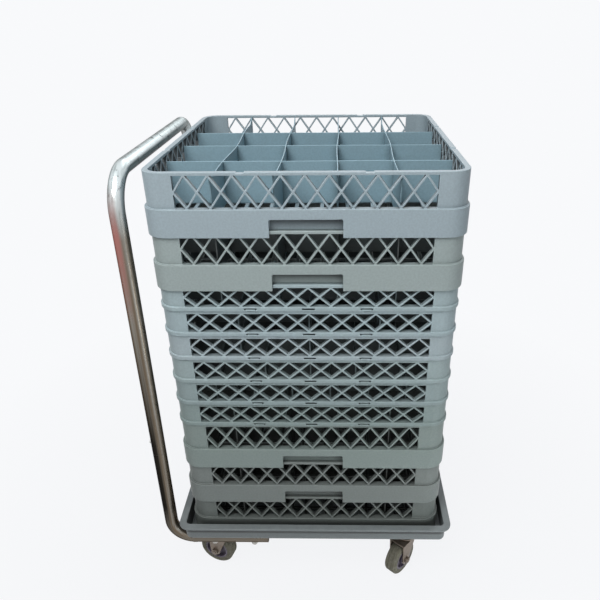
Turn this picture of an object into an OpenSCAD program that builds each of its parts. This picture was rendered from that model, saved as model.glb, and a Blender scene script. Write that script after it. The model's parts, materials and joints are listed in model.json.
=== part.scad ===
// Glass rack dolly: a moulded tray on four swivel casters with a tubular push handle,
// carrying a stack of base racks and extenders for glasses.
// Origin: on the floor, under the middle of the whole dolly. +X to the right, +Y to the rear.

/* [Casters] */
// Height from the floor to the top of the caster plates
caster_h = 94.5; // [84:0.5:110]
// Height of the swivel heads, from the tops of the wheels to the tops of the plates
head_h = 19.5; // [19:0.5:24]
// Width of the tyres
tyre_w = 25; // [20:1:30]
// Thickness of the rubber over the hubs
rubber_t = 11.5; // [9:0.5:13]
// Distance from the swivel axis back to the axle
trail = 22; // [18:1:28]
// Length of the caster plates, along the tray
plate_l = 54; // [53:1:56]
// Width of the caster plates, across the tray
plate_w = 44; // [40:1:44]
// Thickness of the caster plates
plate_t = 3; // [2:0.5:5]
// Distance between the bolt holes of a plate along the tray
plate_hole_x = 40; // [40:0.5:42]
// Distance between the bolt holes of a plate across the tray
plate_hole_y = 22; // [20:0.5:22]
// Distance from the tray's rim in to the swivel axes, along the tray
caster_inset = 80; // [75:1:90]
// Distance from the legs in to the swivel axes, across the tray
caster_from_leg = 29; // [29:0.5:45]
// Thickness of the fork's steel
fork_t = 3; // [2:0.5:4]
// Diameter of the king pins
king_d = 10; // [8:1:12]
// Diameter of the axle bolts
axle_d = 8; // [6:1:9]
// Outer diameter of the bushes that the hubs turn on
bush_d = 12; // [11:1:16]
// Direction in which each wheel trails: front left, front right, rear left, rear right
trail_angles = [162, 230, 198, 130]; // [0:1:360]

/* [Tray] */
// Outer side of the tray's rim
tray_side = 546; // [480:1:580]
// Width of the rim seen from above
rim_w = 14; // [12:0.5:16]
// Thickness of the tray's walls
tray_wall = 4; // [3:0.5:5]
// Thickness of the tray's floor
tray_floor = 3.5; // [3:0.5:6]
// Height of the rim above the top of the floor
tray_depth = 39; // [30:1:60]
// Outer radius of the rim's corners
tray_corner_r = 22; // [22:1:40]
// Radius of the tray's lower edge
tray_edge_r = 10; // [9:0.5:11]
// Thickness of the rim
rim_t = 3; // [2.5:0.5:4]
// Drop of the rim's lip
lip_h = 4.5; // [4.5:0.5:10]
// Thickness of the rim's lip
lip_t = 2.5; // [2:0.5:4]
// Depth of the ribs under the floor
rib_h = 16; // [8:1:20]
// Thickness of the ribs
rib_t = 4; // [3:0.5:6]

/* [Handle] */
// Outer diameter of the tube
tube_d = 25; // [22:0.5:26]
// Wall of the tube
tube_wall = 1.5; // [1:0.1:2]
// Height of the bar's centre line above the floor
bar_h = 863; // [700:1:950]
// Distance from the tray's rim in to the legs, across the tray
leg_from_side = 33; // [32:0.5:40]
// Distance from the tray's rim out to the legs' centre line
leg_out = 21; // [21:1:45]
// Lean of the legs towards the racks, in degrees
leg_lean = 0.65; // [0.1:0.05:1.5]
// Radius of the lower bends
low_bend_r = 45; // [42:1:46]
// Radius of the upper bends
top_bend_r = 60; // [45:1:80]
// Height of the seam where the handle sleeves over the legs
seam_h = 335.6; // [280:1:420]
// Length of the spigot inside the handle
spigot_len = 70; // [60:1:90]
// Height of the snap buttons above the seam
button_up = 24.4; // [18:0.2:40]
// Diameter of the snap buttons
button_d = 8; // [6:0.5:9]
// How far a snap button stands out of the tube
button_out = 2.2; // [1.5:0.1:2.2]
// Distance from the tray's rim in to the cut end of a leg
leg_end_in = 176; // [165:1:230]
// Distance from the tray's rim in to a leg's inner bolt
leg_bolt_in = 146; // [140:1:155]
// Distance from the tray's rim in to a leg's outer bolt
leg_outer_in = 63; // [58:1:66]
// Diameter of the leg bolts
leg_bolt_d = 8; // [6:0.5:8]

/* [Racks] */
// Distance from the tray's rim in to the skirts of the racks
rack_margin = 23; // [22:0.5:30]
// Outer radius of a rack's corners
rack_corner_r = 35; // [28:1:45]
// Height of a base rack
rack_h = 100; // [90:1:130]
// Height of its plain band
band_h = 45; // [40:1:55]
// Height of its rim
rack_rim_h = 5; // [4:0.5:8]
// How far a rack's skirt hangs over the rim below
nest_h = 10; // [7:0.5:14]
// Thickness of the skirt
skirt_t = 3.2; // [2.5:0.1:3.4]
// Step from the skirt's face in to the wall above
step_in = 4; // [3.8:0.1:6]
// Depth of the lattice walls
wall_d = 9; // [6:0.5:12]
// Width of the plain posts beside a base rack's windows
base_post = 19; // [10:0.5:40]
// Lattice cells across a window
lattice_cells = 11; // [7:1:15]
// Width of the lattice bars
bar_w = 3; // [2:0.1:4]
// Thickness of a rack's floor
floor_t = 5; // [3:0.5:8]
// Openings across the floor's grid
floor_cells = 11; // [6:1:14]
// Width of the floor's bars
floor_bar = 6; // [4:0.5:10]
// Width of the hand holds
hold_w = 113; // [90:1:130]
// Height of the hand holds
hold_h = 29; // [24:1:34]
// Thickness of the ledge between band and lattice
ledge_t = 4; // [3:0.5:6]
// Distance of the snap notches and slots from the middle
snap_pitch = 95; // [70:1:120]

/* [Extenders] */
// Height of an extender
extender_h = 47; // [40:1:70]
// Height of its lower band
extender_band_h = 7.5; // [6:0.5:12]
// Height of its rim
extender_rim_h = 6; // [4:0.5:8]
// Width of the plain posts beside its windows
extender_post = 13; // [8:0.5:40]
// How far its lower band stands out
extender_flare = 2.6; // [1:0.1:3.8]
// Width of the snap slots
slot_w = 21; // [12:1:28]
// Height of the snap slots
slot_h = 3.5; // [2:0.5:5]
// Compartments across each extender, lowest first
extender_cells = [5, 7, 6, 4, 4, 5]; // [2:1:7]

/* [Dividers] */
// Thickness of the divider strips
divider_t = 2; // [1:0.1:3]
// Compartments from left to right in a base rack
columns = 5; // [3:1:7]
// Compartments from front to rear in a base rack
rows = 4; // [3:1:7]
// How far the strips' tops lie below the rim
divider_drop = 14; // [10:1:30]

/* [Hidden] */
$fn = 48;
// One overrun serves all cuts
over = 1;
// Clearances: turning fits, loose fits, and the gap between stacked or set-in pieces
turn_gap = 0.06;
loose_gap = 0.3;
seat_gap = 0.3;
// The walls, corner posts, floor and strips of one moulding are solids of their own, set this far apart
seam_gap = 0.1;

// Snap notches in the rims
notch_w = 12;
notch_h = 1.5;
// Walls of the hand hold pockets
pocket_t = 3;

// Heights from the floor up
wheel_d = caster_h - head_h;
hub_d = wheel_d - 2 * rubber_t;
axle_z = wheel_d / 2;
tube_r = tube_d / 2;
tube_bore_r = tube_r - tube_wall;
leg_seat = 0.2;
leg_headroom = 0.8;
leg_z = caster_h + leg_seat + tube_r;
deck_low = leg_z + tube_r + leg_headroom;
deck_top = deck_low + tray_floor;
tray_top = deck_top + tray_depth;

// Plan: the tray stands right of the origin by half the handle's reach
tray_half = tray_side / 2;
handle_reach = tray_half + leg_out + tube_r;
tray_x = (handle_reach - tray_half) / 2;
leg_y = tray_half - leg_from_side;
caster_x = tray_half - caster_inset;
caster_y = leg_y - caster_from_leg;
caster_places = [[-1, -1], [1, -1], [-1, 1], [1, 1]];
caster_names = ["front_left", "front_right", "rear_left", "rear_right"];
sides = [-1, 1];

// Racks
rack_half = tray_half - rack_margin;
rack_flat = rack_half - rack_corner_r;
wall_half = rack_half - step_in;
inner_half = wall_half - wall_d;
side_half = rack_flat - seam_gap;
base_window = 2 * (rack_flat - base_post);
extender_window = 2 * (rack_flat - extender_post);
rack_step = rack_h - nest_h;
rack_seat = deck_top + seat_gap;
lower_racks = 3;
upper_racks = 2;
extender_count = len(extender_cells);
extender_base = rack_seat + (lower_racks - 1) * rack_step + rack_h + seat_gap;
extender_step = extender_h + seat_gap;
upper_base = extender_base + extender_count * extender_step - nest_h;
rack_levels = concat(
    [for (i = [0:lower_racks - 1]) rack_seat + i * rack_step],
    [for (i = [0:upper_racks - 1]) upper_base + i * rack_step]);

// Sections through a side, measured from the centre of a corner's round
skirt_u = rack_corner_r;
skirt_in_u = skirt_u - skirt_t;
wall_u = skirt_u - step_in;
inner_u = wall_u - wall_d;
flare_u = wall_u + extender_flare;
ledge_z = band_h - ledge_t;
base_foot = [
    [skirt_in_u, 0], [skirt_u, 0], [skirt_u, band_h], [inner_u, band_h], [inner_u, ledge_z],
    [skirt_in_u, ledge_z]];
base_section = [
    [skirt_in_u, 0], [skirt_u, 0], [skirt_u, band_h], [wall_u, band_h], [wall_u, rack_h], [inner_u, rack_h],
    [inner_u, ledge_z], [skirt_in_u, ledge_z]];
extender_section = [
    [inner_u, 0], [flare_u, 0], [flare_u, extender_band_h], [wall_u, extender_band_h], [wall_u, extender_h],
    [inner_u, extender_h]];

// Casters
plate_low = caster_h - plate_t;
race_t = 4.5;
race_d = 30;
crown_d = 40;
crown_t = 4;
race_gap = 0.5;
crown_top = plate_low - race_t - race_gap;
crown_low = crown_top - crown_t;
king_head_d = 16;
king_head_t = 3;
wheel_side_gap = 1.2;
wheel_w = tyre_w + 2 * wheel_side_gap;
fork_gap = wheel_w + 2 * wheel_side_gap;
fork_fore = 10;
fork_aft = 13;
axle_boss_r = 11;
axle_head_af = 13;
axle_head_t = 5;
tyre_round = 4;
hub_web = 8;
hub_rim = 4;
hub_boss_d = 24;

// Fasteners of the caster plates and the legs
plate_bolt_d = 6;
bolt_gap = 0.3;
plate_bolt_af = 10;
plate_bolt_head = 4;
plate_nut_h = 5;
leg_bolt_head_d = 12.5;
leg_bolt_head_h = 3;
dome_nut_af = 13;
dome_nut_h = 6;
dome_d = 11;
leg_nut_af = 12;
leg_nut_h = 5;

// Handle, in a frame that leans with the legs and starts at the end of the lower bend
bend_x = tray_x - tray_half - leg_out + low_bend_r;
bend_z = leg_z + low_bend_r;
lean_z = bend_z + low_bend_r * sin(leg_lean);
seam_s = (seam_h - lean_z) / cos(leg_lean);
bar_s = (bar_h - lean_z) / cos(leg_lean);
button_s = seam_s + button_up;
spigot_r = tube_bore_r - loose_gap;
spigot_bore_r = spigot_r - tube_wall;
leg_end_x = tray_x - tray_half + leg_end_in;
leg_bolt_x = tray_x - tray_half + leg_bolt_in;
leg_outer_x = tray_x - tray_half + leg_outer_in;
button_flange_r = 5;
button_flange_t = 1.5;
button_seat = sqrt(pow(spigot_bore_r, 2) - pow(button_flange_r, 2)) - loose_gap;
button_dome = 1.5;
spring_t = 0.8;
spring_w = 8;
spring_len = 34;
// The ring where a leg's bend is welded to its straight run: height, length, and degrees of bend inside it
weld_up = 0.4;
weld_len = 8;
weld_angle = 1;

// Plain shapes

module hex(af, h) {
    cylinder(d = af / cos(30), h = h, $fn = 6);
}

function joined(lists) = [for (part = lists) for (p = part) p];
function starts(rings, i = 0, n = 0) =
    i == len(rings) ? [] : concat([n], starts(rings, i + 1, n + len(rings[i])));

// A plate outline, the first ring, with the other rings as holes in it
module pierced(rings) {
    first = starts(rings);
    polygon(joined(rings), [for (i = [0:len(rings) - 1]) [for (k = [0:len(rings[i]) - 1]) first[i] + k]]);
}

function box_ring(x0, y0, x1, y1) = [[x0, y0], [x1, y0], [x1, y1], [x0, y1]];

// Four turns of the same wall round the rack
module four_sides() {
    for (a = [0:90:270]) rotate([0, 0, a]) children();
}

module on_tray() {
    translate([tray_x, 0, 0]) children();
}

// Tray

// The wall's section, out from the centre of a corner: floor, round lower edge, wall, rim and lip
function tray_section() =
    let (in_u = tray_corner_r - rim_w, wall_u = in_u + tray_wall, lip_u = tray_corner_r - lip_t,
         edge_u = wall_u - tray_edge_r, edge_z = deck_low + tray_edge_r)
    concat(
        [[0, deck_low]],
        [for (a = [0:15:90]) [edge_u + tray_edge_r * sin(a), edge_z - tray_edge_r * cos(a)]],
        [[wall_u, tray_top - rim_t], [lip_u, tray_top - rim_t], [lip_u, tray_top - lip_h],
         [tray_corner_r, tray_top - lip_h], [tray_corner_r, tray_top], [in_u, tray_top],
         [in_u, deck_top], [0, deck_top]]);

module tray_shell() {
    flat = tray_half - tray_corner_r;
    four_sides() {
        translate([flat, flat, 0]) rotate_extrude(angle = 90) polygon(tray_section());
        translate([flat, flat, 0]) rotate([90, 0, 0]) linear_extrude(2 * flat) polygon(tray_section());
    }
    translate([-flat, -flat, deck_low]) cube([2 * flat, 2 * flat, tray_floor]);
}

// Pads carry the caster plates, and the legs pass beside those at the handle's end
module tray_pads() {
    for (p = caster_places)
        translate([p.x * caster_x - plate_l / 2, p.y * caster_y - plate_w / 2, caster_h])
            cube([plate_l, plate_w, deck_low - caster_h + tray_floor / 2]);
}

module tray_ribs() {
    for (y = [-1, 0, 1])
        translate([-caster_x, y * (caster_y - plate_w) - rib_t / 2, deck_low - rib_h])
            cube([2 * caster_x, rib_t, rib_h + tray_floor / 2]);
    for (x = [-1, 0, 1])
        translate([x * (caster_x - plate_l) - rib_t / 2, -caster_y, deck_low - rib_h])
            cube([rib_t, 2 * caster_y, rib_h + tray_floor / 2]);
}

module leg_channels() {
    channel = tube_r + loose_gap;
    for (y = sides)
        translate([-tray_half, y * leg_y - channel, caster_h - over])
            cube([leg_end_in + plate_l, 2 * channel, deck_low - caster_h + over]);
}

module at_plate_holes(z) {
    for (p = caster_places, x = [-1, 1], y = [-1, 1])
        translate([p.x * caster_x + x * plate_hole_x / 2, p.y * caster_y + y * plate_hole_y / 2, z]) children();
}

module at_leg_bolts(z) {
    for (x = [leg_bolt_x, leg_outer_x], y = sides) translate([x, y * leg_y, z]) children();
}

module tray() {
    color("dimgray") difference() {
        on_tray() union() {
            tray_shell();
            tray_pads();
            tray_ribs();
        }
        on_tray() leg_channels();
        on_tray() at_plate_holes(caster_h - over)
            cylinder(d = plate_bolt_d + 2 * bolt_gap, h = deck_top - caster_h + 2 * over);
        at_leg_bolts(deck_low - over) cylinder(d = leg_bolt_d + 2 * bolt_gap, h = tray_floor + 2 * over);
    }
}

// Handle

module lean_frame() {
    translate([bend_x, 0, bend_z]) rotate([0, leg_lean, 0]) translate([-low_bend_r, 0, 0]) children();
}

// The solid line of a leg at a given radius: run past its cut end, weld ring, bend, and up to a given height
module leg_line(r, past, ring_len, top) {
    run = leg_end_x - bend_x;
    translate([bend_x, 0, leg_z]) rotate([0, 90, 0]) cylinder(r = r, h = run + past);
    translate([bend_x, 0, leg_z]) rotate([0, 90, 0]) cylinder(r = r + weld_up, h = ring_len, center = true);
    translate([bend_x, 0, bend_z]) rotate([0, leg_lean, 0]) rotate([90, 0, 0]) rotate([0, 0, 180])
        rotate_extrude(angle = 90 + leg_lean - weld_angle) translate([low_bend_r, 0]) circle(r);
    lean_frame() cylinder(r = r, h = top);
}

module leg(side) {
    color("silver") translate([0, side * leg_y, 0]) difference() {
        union() {
            leg_line(tube_r, 0, weld_len, seam_s);
            lean_frame() cylinder(r = spigot_r, h = seam_s + spigot_len);
        }
        leg_line(tube_bore_r, over, weld_len - 2 * tube_wall, seam_s - tube_wall);
        lean_frame() cylinder(r = spigot_bore_r, h = seam_s + spigot_len + over);
        lean_frame() translate([0, 0, button_s]) rotate([0, -90, 0])
            cylinder(d = button_d + 2 * loose_gap, h = tube_d);
        for (x = [leg_bolt_x, leg_outer_x]) translate([x, 0, leg_z - tube_d])
            cylinder(d = leg_bolt_d + 2 * bolt_gap, h = 2 * tube_d);
    }
}

module leg_front() { leg(-1); }
module leg_rear() { leg(1); }

module handle_line(r, past) {
    straight = bar_s - top_bend_r - seam_s;
    half_bar = leg_y - top_bend_r;
    for (y = sides) {
        translate([0, y * leg_y, seam_s - past]) cylinder(r = r, h = straight + past);
        mirror([0, y > 0 ? 0 : 1, 0]) translate([0, half_bar, bar_s - top_bend_r]) rotate([90, 0, 90])
            rotate_extrude(angle = 90) translate([top_bend_r, 0]) circle(r);
    }
    translate([0, half_bar, bar_s]) rotate([90, 0, 0]) cylinder(r = r, h = 2 * half_bar);
}

module push_handle() {
    color("silver") lean_frame() difference() {
        handle_line(tube_r, 0);
        handle_line(tube_bore_r, over);
        for (y = sides)
            translate([0, y * leg_y, button_s]) rotate([0, -90, 0])
                cylinder(d = button_d + 2 * loose_gap, h = tube_d);
    }
}

// A flanged pin with a domed tip, pointing out of the leg's left side
module snap_button(side) {
    tip = tube_r + button_out;
    stem_r = button_d / 2;
    color("gainsboro") lean_frame() translate([0, side * leg_y, button_s]) rotate([0, -90, 0])
        rotate_extrude() polygon(concat(
            [[0, button_seat - button_flange_t], [button_flange_r, button_seat - button_flange_t],
             [button_flange_r, button_seat], [stem_r, button_seat]],
            [for (a = [0:30:90]) [stem_r - button_dome * (1 - cos(a)), tip - button_dome * (1 - sin(a))]],
            [[0, tip]]));
}

module button_front() { snap_button(-1); }
module button_rear() { snap_button(1); }

// A bent strip inside the spigot: one leaf behind the button, the other on the far wall
module button_spring(side) {
    near = -button_seat + button_flange_t + seat_gap;
    far = sqrt(pow(spigot_bore_r, 2) - pow(spring_w / 2, 2)) - seat_gap;
    foot = (near + far) / 2;
    color("lightgray") lean_frame() translate([0, side * leg_y + spring_w / 2, button_s])
        rotate([90, 0, 0]) linear_extrude(spring_w) polygon([
            [near, button_flange_r], [near + spring_t, button_flange_r], [near + spring_t, -button_flange_r],
            [foot, -spring_len + 2 * spring_t], [far - spring_t, -button_flange_r],
            [far - spring_t, button_flange_r], [far, button_flange_r], [far, -button_flange_r],
            [foot, -spring_len], [near, -button_flange_r]]);
}

module button_spring_front() { button_spring(-1); }
module button_spring_rear() { button_spring(1); }

module leg_bolts() {
    low = leg_z - tube_r - dome_nut_h;
    color("lightsteelblue") {
        at_leg_bolts(low) cylinder(d = leg_bolt_d, h = deck_top - low + leg_bolt_head_h);
        at_leg_bolts(deck_top) cylinder(d = leg_bolt_head_d, h = leg_bolt_head_h);
    }
}

// Under the tubes: a dome nut on each inner bolt, a plain nut on each outer bolt
module leg_nuts() {
    low = leg_z - tube_r;
    color("lightsteelblue") difference() {
        for (y = sides) {
            translate([leg_outer_x, y * leg_y, low - leg_nut_h]) hex(leg_nut_af, leg_nut_h);
            translate([leg_bolt_x, y * leg_y, low - dome_nut_h]) {
                hex(dome_nut_af, dome_nut_h);
                intersection() {
                    sphere(d = dome_d);
                    translate([0, 0, -dome_d]) cylinder(d = dome_d, h = dome_d + over);
                }
            }
        }
        at_leg_bolts(low - dome_nut_h) cylinder(d = leg_bolt_d, h = dome_nut_h + over);
    }
}

// Casters

module at_casters() {
    on_tray() for (p = caster_places) translate([p.x * caster_x, p.y * caster_y, 0]) children();
}

// One caster's own frame: the swivel axis upright, the wheel trailing along +X
module at_caster(i) {
    place = caster_places[i];
    on_tray() translate([place.x * caster_x, place.y * caster_y, 0]) rotate([0, 0, trail_angles[i]]) children();
}

module at_axle(i) {
    at_caster(i) translate([trail, 0, axle_z]) rotate([90, 0, 0]) children();
}

module caster_plates() {
    color("silver") difference() {
        at_casters() {
            translate([-plate_l / 2, -plate_w / 2, plate_low]) cube([plate_l, plate_w, plate_t]);
            translate([0, 0, plate_low - race_t]) cylinder(d = race_d, h = race_t);
        }
        at_casters() translate([0, 0, plate_low - race_t - over])
            cylinder(d = king_d, h = plate_t + race_t + 2 * over);
        on_tray() at_plate_holes(plate_low - over)
            cylinder(d = plate_bolt_d + 2 * bolt_gap, h = plate_t + 2 * over);
    }
}

module king_pins() {
    color("gainsboro") at_casters() {
        translate([0, 0, crown_low - seat_gap - over])
            cylinder(d = king_d, h = caster_h - crown_low + seat_gap + over);
        translate([0, 0, crown_low - seat_gap - king_head_t]) cylinder(d = king_head_d, h = king_head_t);
    }
}

module plate_bolts() {
    top = deck_top + plate_nut_h + over;
    color("lightsteelblue") on_tray() {
        at_plate_holes(plate_low - over) cylinder(d = plate_bolt_d, h = top - plate_low + over);
        at_plate_holes(plate_low - plate_bolt_head) hex(plate_bolt_af, plate_bolt_head);
    }
}

module plate_nuts() {
    color("lightsteelblue") on_tray() difference() {
        at_plate_holes(deck_top) hex(plate_bolt_af, plate_nut_h);
        at_plate_holes(deck_top - over) cylinder(d = plate_bolt_d, h = plate_nut_h + 2 * over);
    }
}

// A pressed fork: round crown, and two legs that narrow from the crown to the axle
module fork(i) {
    leg_top = crown_low + crown_t / 2;
    leg_fore = -fork_fore;
    leg_aft = trail + fork_aft;
    color("silver") at_caster(i) difference() {
        union() {
            translate([0, 0, crown_low]) cylinder(d = crown_d, h = crown_t);
            for (y = sides)
                translate([0, y * (fork_gap + fork_t) / 2 + fork_t / 2, 0]) rotate([90, 0, 0])
                    linear_extrude(fork_t) {
                        polygon([[leg_fore, leg_top], [leg_aft, leg_top],
                                 [trail + axle_boss_r, axle_z], [trail - axle_boss_r, axle_z]]);
                        translate([trail, axle_z]) circle(axle_boss_r);
                    }
            translate([leg_fore, -fork_gap / 2 - fork_t, crown_low])
                cube([leg_aft - leg_fore, fork_gap + 2 * fork_t, crown_t / 2]);
        }
        translate([0, 0, crown_low - over]) cylinder(r = king_d / 2 + turn_gap, h = crown_t + 2 * over);
        translate([trail, 0, axle_z]) rotate([90, 0, 0])
            cylinder(d = axle_d, h = 2 * fork_gap, center = true);
    }
}

module axle(i) {
    grip = fork_gap / 2 + fork_t;
    color("lightsteelblue") at_axle(i) {
        translate([0, 0, -grip - axle_head_t - over]) cylinder(d = axle_d, h = 2 * grip + axle_head_t + over);
        translate([0, 0, grip]) hex(axle_head_af, axle_head_t);
    }
}

module axle_nut(i) {
    grip = fork_gap / 2 + fork_t;
    color("lightsteelblue") at_axle(i) translate([0, 0, -grip - axle_head_t]) difference() {
        hex(axle_head_af, axle_head_t);
        translate([0, 0, -over]) cylinder(d = axle_d, h = axle_head_t + 2 * over);
    }
}

module bush(i) {
    color("gainsboro") at_axle(i) difference() {
        cylinder(d = bush_d, h = fork_gap, center = true);
        cylinder(d = axle_d, h = fork_gap + 2 * over, center = true);
    }
}

module hub(i) {
    rim_r = hub_d / 2;
    color("slategray") at_axle(i) difference() {
        union() {
            cylinder(r = rim_r, h = hub_web, center = true);
            cylinder(d = hub_boss_d, h = wheel_w, center = true);
            difference() {
                cylinder(r = rim_r, h = tyre_w, center = true);
                cylinder(r = rim_r - hub_rim, h = tyre_w + 2 * over, center = true);
            }
        }
        cylinder(r = bush_d / 2 + turn_gap, h = wheel_w + 2 * over, center = true);
    }
}

// A moulded tyre with rounded shoulders
module tyre(i) {
    half_w = tyre_w / 2;
    out_r = wheel_d / 2;
    color("darkgray") at_axle(i) rotate_extrude() polygon(concat(
        [[hub_d / 2, -half_w]],
        [for (a = [0:22.5:90]) [out_r - tyre_round * (1 - sin(a)), -half_w + tyre_round * (1 - cos(a))]],
        [for (a = [90:-22.5:0]) [out_r - tyre_round * (1 - sin(a)), half_w - tyre_round * (1 - cos(a))]],
        [[hub_d / 2, half_w]]));
}

// Racks

// Holes of one lattice window: a row of diamonds, and the triangles above and below their joints
function lattice_holes(w, z0, z1) =
    let (pitch = w / lattice_cells, a = pitch / 2, c = (z1 - z0) / 2, mid = (z0 + z1) / 2,
         slant = sqrt(a * a + c * c), inset = bar_w / 2, k = 1 - inset * slant / (a * c),
         tip = inset * slant / a, foot = a - inset * slant / c, left = -w / 2)
    concat(
        [for (i = [0:lattice_cells - 1]) let (x = left + (i + 1 / 2) * pitch)
            [[x - k * a, mid], [x, mid - k * c], [x + k * a, mid], [x, mid + k * c]]],
        [for (i = [0:lattice_cells], s = [-1, 1]) let (x = left + i * pitch)
            [[max(x - foot, left), mid + s * c], [min(x + foot, -left), mid + s * c], [x, mid + s * tip]]]);

// A wall from its foot to the top of the rim, with snap notches in the rim and one lattice window
function wall_rings(w, foot, z0, z1, top) =
    concat(
        [concat([[-side_half, foot], [side_half, foot], [side_half, top]],
            joined([for (x = [snap_pitch, -snap_pitch])
                [[x + notch_w / 2, top], [x + notch_w / 2, top - notch_h],
                 [x - notch_w / 2, top - notch_h], [x - notch_w / 2, top]]]),
            [[-side_half, top]])],
        lattice_holes(w, z0, z1));

module lattice_wall(w, foot, z0, z1, top) {
    translate([0, wall_half, 0]) rotate([90, 0, 0]) linear_extrude(wall_d)
        pierced(wall_rings(w, foot, z0, z1, top));
}

// The four round corners of a section
module corner_posts(section) {
    four_sides() translate([rack_flat, rack_flat, 0]) rotate_extrude(angle = 90) polygon(section);
}

function quarter_turned(p, q) =
    [p.x * cos(q * 90) - p.y * sin(q * 90), p.x * sin(q * 90) + p.y * cos(q * 90)];

// The floor's outline: round corners inside the skirt, and a notch for each hand hold's pocket
function floor_outline(half, r, notch_half, notch_in) =
    let (c = half - r,
         corner = [for (a = [0:15:90]) [c + r * cos(a), c + r * sin(a)]],
         notch = [[notch_half, half], [notch_half, notch_in], [-notch_half, notch_in], [-notch_half, half]])
    joined([for (q = [0:3]) [for (p = concat(corner, notch)) quarter_turned(p, q)]]);

module rack_floor() {
    edge = skirt_t + seam_gap;
    notch_half = hold_w / 2 + pocket_t + seam_gap;
    low = floor_bar - inner_half;
    pitch = (floor_bar - 2 * low) / floor_cells;
    hole = pitch - floor_bar;
    translate([0, 0, nest_h + seat_gap]) linear_extrude(floor_t - seat_gap) pierced(concat(
        [floor_outline(rack_half - edge, rack_corner_r - edge, notch_half, inner_half - seam_gap)],
        [for (i = [0:floor_cells - 1], j = [0:floor_cells - 1])
            let (corner = (i == 0 || i == floor_cells - 1) && (j == 0 || j == floor_cells - 1),
                 x = low + i * pitch, y = low + j * pitch)
            if (!corner) box_ring(x, y, x + hole, y + hole)]));
}

// The pocket behind a hand hold, closed at the back, the sides and the top
module hold_pocket() {
    low = nest_h + seat_gap;
    translate([-hold_w / 2 - pocket_t, inner_half, low])
        cube([hold_w + 2 * pocket_t, rack_half - inner_half - skirt_t / 2, hold_h + pocket_t - low]);
}

module hold_cut() {
    translate([-hold_w / 2, inner_half + pocket_t, -over])
        cube([hold_w, rack_half - inner_half, hold_h + over]);
}

// One side of a base rack: the band with its hand hold, the ledge and the lattice wall above
module base_side() {
    difference() {
        union() {
            translate([-side_half, rack_flat, 0]) rotate([90, 0, 90]) linear_extrude(2 * side_half)
                polygon(base_foot);
            hold_pocket();
        }
        hold_cut();
    }
    lattice_wall(base_window, ledge_z, band_h, rack_h - rack_rim_h, rack_h);
}

module rack(i) {
    color("lightslategray") on_tray() translate([0, 0, rack_levels[i]]) {
        four_sides() base_side();
        corner_posts(base_section);
        rack_floor();
    }
}

// Dividers

// One strip, with half-depth slots where the crossing strips pass
function strip_outline(low, high, count, pitch, from_top) =
    let (half = inner_half - seat_gap, w = divider_t / 2 + loose_gap, slots = from_top ? high : low,
         plain = from_top ? low : high, deep = (low + high) / 2 + (from_top ? -1 : 1) * loose_gap / 2,
         places = [for (k = [1:count - 1]) (k - count / 2) * pitch])
    concat([[half, plain], [-half, plain], [-half, slots]],
        joined([for (x = places) [[x - w, slots], [x - w, deep], [x + w, deep], [x + w, slots]]]),
        [[half, slots]]);

// Strips from front to rear, slotted over strips from left to right
module crossed_strips(across, along, low, high) {
    across_pitch = 2 * inner_half / across;
    along_pitch = 2 * inner_half / along;
    for (k = [1:across - 1])
        translate([(k - across / 2) * across_pitch - divider_t / 2, 0, 0]) rotate([90, 0, 90])
            linear_extrude(divider_t) polygon(strip_outline(low, high, along, along_pitch, true));
    for (k = [1:along - 1])
        translate([0, (k - along / 2) * along_pitch + divider_t / 2, 0]) rotate([90, 0, 0])
            linear_extrude(divider_t) polygon(strip_outline(low, high, across, across_pitch, false));
}

module dividers(i) {
    color("lightslategray") on_tray() translate([0, 0, rack_levels[i]])
        crossed_strips(columns, rows, nest_h + floor_t + seat_gap, rack_h - divider_drop);
}

// Extenders

// One side of an extender: the lattice wall, and the flared band with its snap slots
module extender_side() {
    window_high = extender_h - extender_rim_h;
    difference() {
        union() {
            lattice_wall(extender_window, 0, extender_band_h, window_high, extender_h);
            translate([-side_half, wall_half - over, 0])
                cube([2 * side_half, extender_flare + over, extender_band_h]);
        }
        for (x = [-1, 0, 1])
            translate([x * snap_pitch - slot_w / 2, wall_half - wall_d / 2, (extender_band_h - slot_h) / 2])
                cube([slot_w, wall_d, slot_h]);
    }
}

module extender(i) {
    cells = extender_cells[i];
    color("slategray") on_tray() translate([0, 0, extender_base + i * extender_step]) {
        four_sides() extender_side();
        corner_posts(extender_section);
        crossed_strips(cells, cells, extender_band_h / 2, extender_h - extender_rim_h);
    }
}

tray();
leg_front();
leg_rear();
push_handle();
button_front();
button_rear();
button_spring_front();
button_spring_rear();
leg_bolts();
leg_nuts();
caster_plates();
king_pins();
plate_bolts();
plate_nuts();
for (i = [0:len(caster_names) - 1]) {
    fork(i);
    axle(i);
    axle_nut(i);
    bush(i);
    hub(i);
    tyre(i);
}
for (i = [0:len(rack_levels) - 1]) {
    rack(i);
    dividers(i);
}
for (i = [0:extender_count - 1])
    extender(i);
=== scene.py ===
import json
import math

import bmesh
import bpy
from mathutils import Matrix, Vector


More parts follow.
